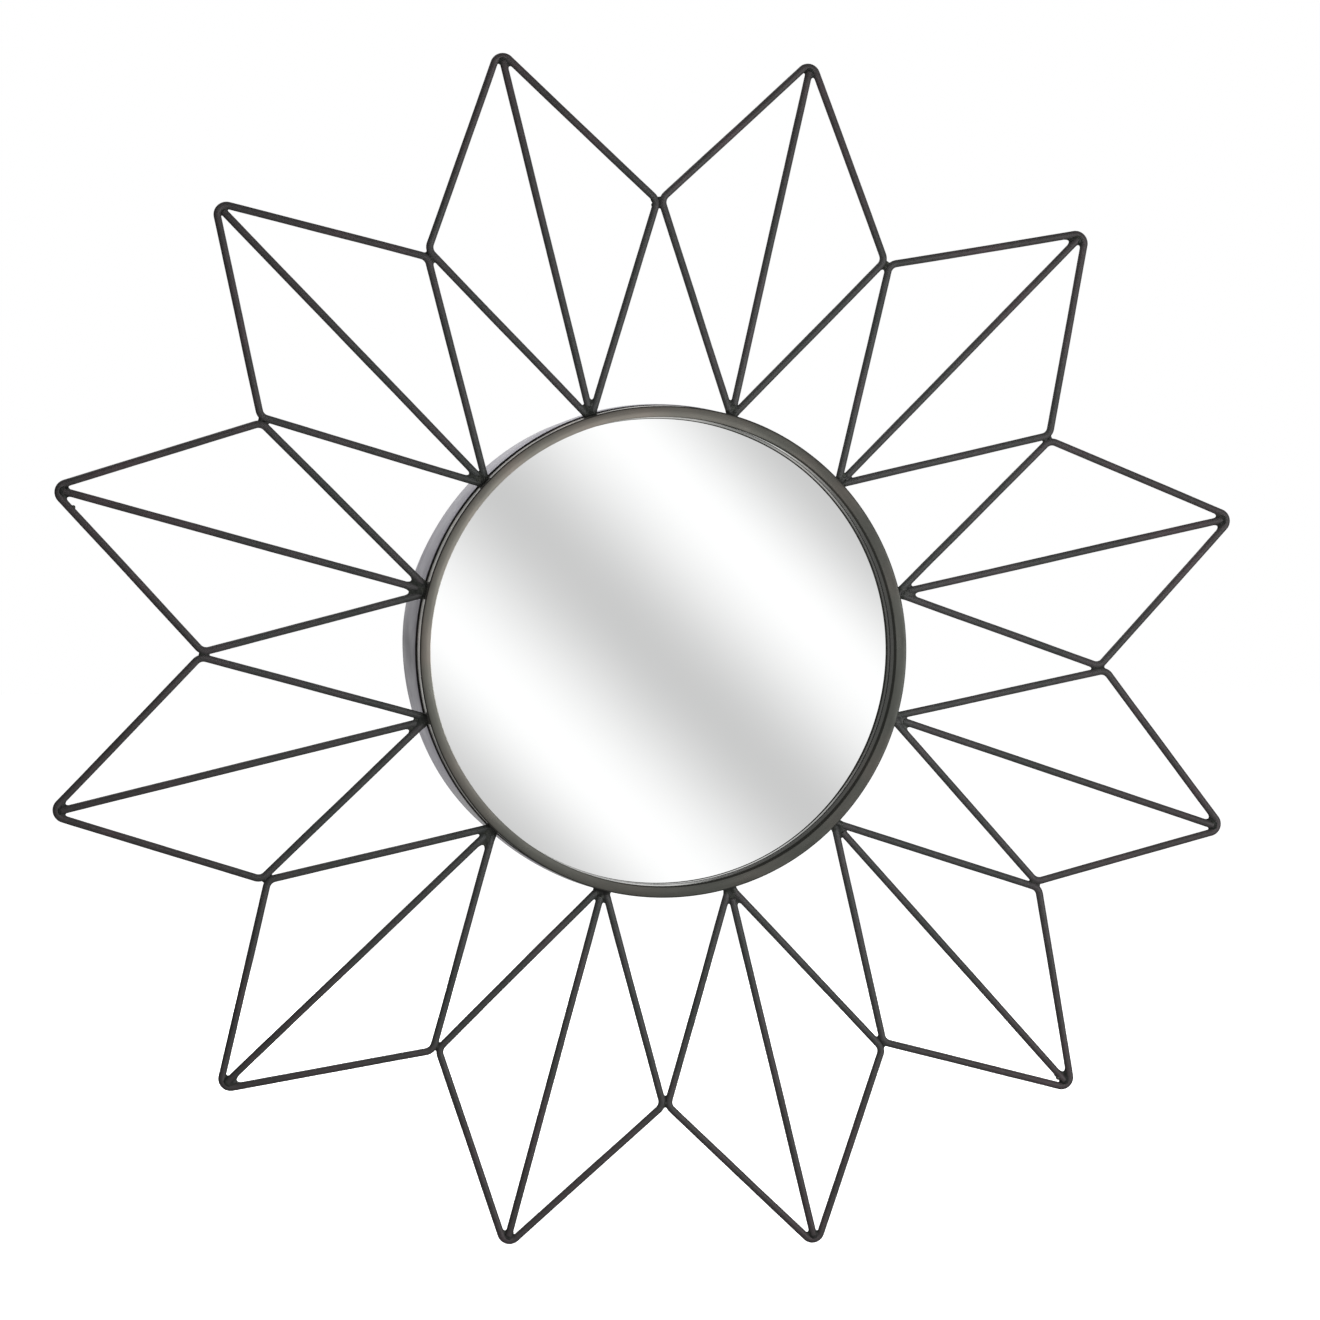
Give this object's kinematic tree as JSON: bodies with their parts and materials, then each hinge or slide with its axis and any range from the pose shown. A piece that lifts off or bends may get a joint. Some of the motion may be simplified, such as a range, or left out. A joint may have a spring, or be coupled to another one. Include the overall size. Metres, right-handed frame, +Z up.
{
  "type": "sunburst wall mirror",
  "caption": "Round wall mirror in a deep steel drum, ringed by bent-wire petals with centre spines, with turn buttons and D-ring hangers at the back.",
  "frame": {"origin": "centre of the drum on the wall plane", "axes": "+Y points from the mirror into the wall, so the mirror faces -Y; +Z is up and +X is to the viewer's right"},
  "size_m": [0.7673, 0.089, 0.767],
  "materials": {
    "coated_wire": "satin charcoal coating over round steel wire",
    "weld_bead": "lumpy weld under the same dark coating",
    "rim_coat": "satin warm grey gunmetal",
    "drum_coat": "satin grey metal",
    "mirror": "silvered float glass",
    "seal": "soft black ring",
    "felt": "thin grey felt",
    "fibreboard": "raw brown fibreboard",
    "zinc_hardware": "zinc-plated steel"
  },
  "bodies": {
    "frame": {"petal_wire_01": "coated_wire", "petal_wire_02": "coated_wire", "petal_wire_03": "coated_wire", "petal_wire_04": "coated_wire", "petal_wire_05": "coated_wire", "petal_wire_06": "coated_wire", "petal_wire_07": "coated_wire", "petal_wire_08": "coated_wire", "petal_wire_09": "coated_wire", "petal_wire_10": "coated_wire", "petal_wire_11": "coated_wire", "petal_wire_12": "coated_wire", "spine_rod_01": "coated_wire", "spine_rod_02": "coated_wire", "spine_rod_03": "coated_wire", "spine_rod_04": "coated_wire", "spine_rod_05": "coated_wire", "spine_rod_06": "coated_wire", "spine_rod_07": "coated_wire", "spine_rod_08": "coated_wire", "spine_rod_09": "coated_wire", "spine_rod_10": "coated_wire", "spine_rod_11": "coated_wire", "spine_rod_12": "coated_wire", "hub_welds": "weld_bead", "tip_welds": "weld_bead", "side_welds": "weld_bead", "front_bezel": "rim_coat", "drum_band": "drum_coat", "mirror_glass": "mirror", "glazing_seal": "seal", "backing_pad": "felt", "backboard": "fibreboard", "board_lugs": "zinc_hardware", "turn_button_screws": "zinc_hardware", "hanger_rivets": "zinc_hardware", "hanger_strap_left": "zinc_hardware", "hanger_strap_right": "zinc_hardware", "hanger_bar": "drum_coat"},
    "turn_button_1": {"turn_button_1": "zinc_hardware"},
    "turn_button_2": {"turn_button_2": "zinc_hardware"},
    "turn_button_3": {"turn_button_3": "zinc_hardware"},
    "turn_button_4": {"turn_button_4": "zinc_hardware"},
    "turn_button_5": {"turn_button_5": "zinc_hardware"},
    "turn_button_6": {"turn_button_6": "zinc_hardware"},
    "d_ring_left": {"d_ring_left": "zinc_hardware"},
    "d_ring_right": {"d_ring_right": "zinc_hardware"}
  },
  "joints": [
    {"name": "button_turn_1", "type": "hinge", "parent": "frame", "child": "turn_button_1", "pos_m": [0.1312, -0.06345, 0.07575], "axis": [0, 1, 0], "range_deg": [-90, 90]},
    {"name": "button_turn_2", "type": "hinge", "parent": "frame", "child": "turn_button_2", "pos_m": [0, -0.06345, 0.1515], "axis": [0, 1, 0], "range_deg": [-90, 90]},
    {"name": "button_turn_3", "type": "hinge", "parent": "frame", "child": "turn_button_3", "pos_m": [-0.1312, -0.06345, 0.07575], "axis": [0, 1, 0], "range_deg": [-90, 90]},
    {"name": "button_turn_4", "type": "hinge", "parent": "frame", "child": "turn_button_4", "pos_m": [-0.1312, -0.06345, -0.07575], "axis": [0, 1, 0], "range_deg": [-90, 90]},
    {"name": "button_turn_5", "type": "hinge", "parent": "frame", "child": "turn_button_5", "pos_m": [0, -0.06345, -0.1515], "axis": [0, 1, 0], "range_deg": [-90, 90]},
    {"name": "button_turn_6", "type": "hinge", "parent": "frame", "child": "turn_button_6", "pos_m": [0.1312, -0.06345, -0.07575], "axis": [0, 1, 0], "range_deg": [-90, 90]},
    {"name": "d_ring_left_swing", "type": "hinge", "parent": "frame", "child": "d_ring_left", "pos_m": [-0.07, -0.00594, 0.105], "axis": [1, 0, 0], "range_deg": [0, 180]},
    {"name": "d_ring_right_swing", "type": "hinge", "parent": "frame", "child": "d_ring_right", "pos_m": [0.07, -0.00594, 0.105], "axis": [1, 0, 0], "range_deg": [0, 180]}
  ]
}
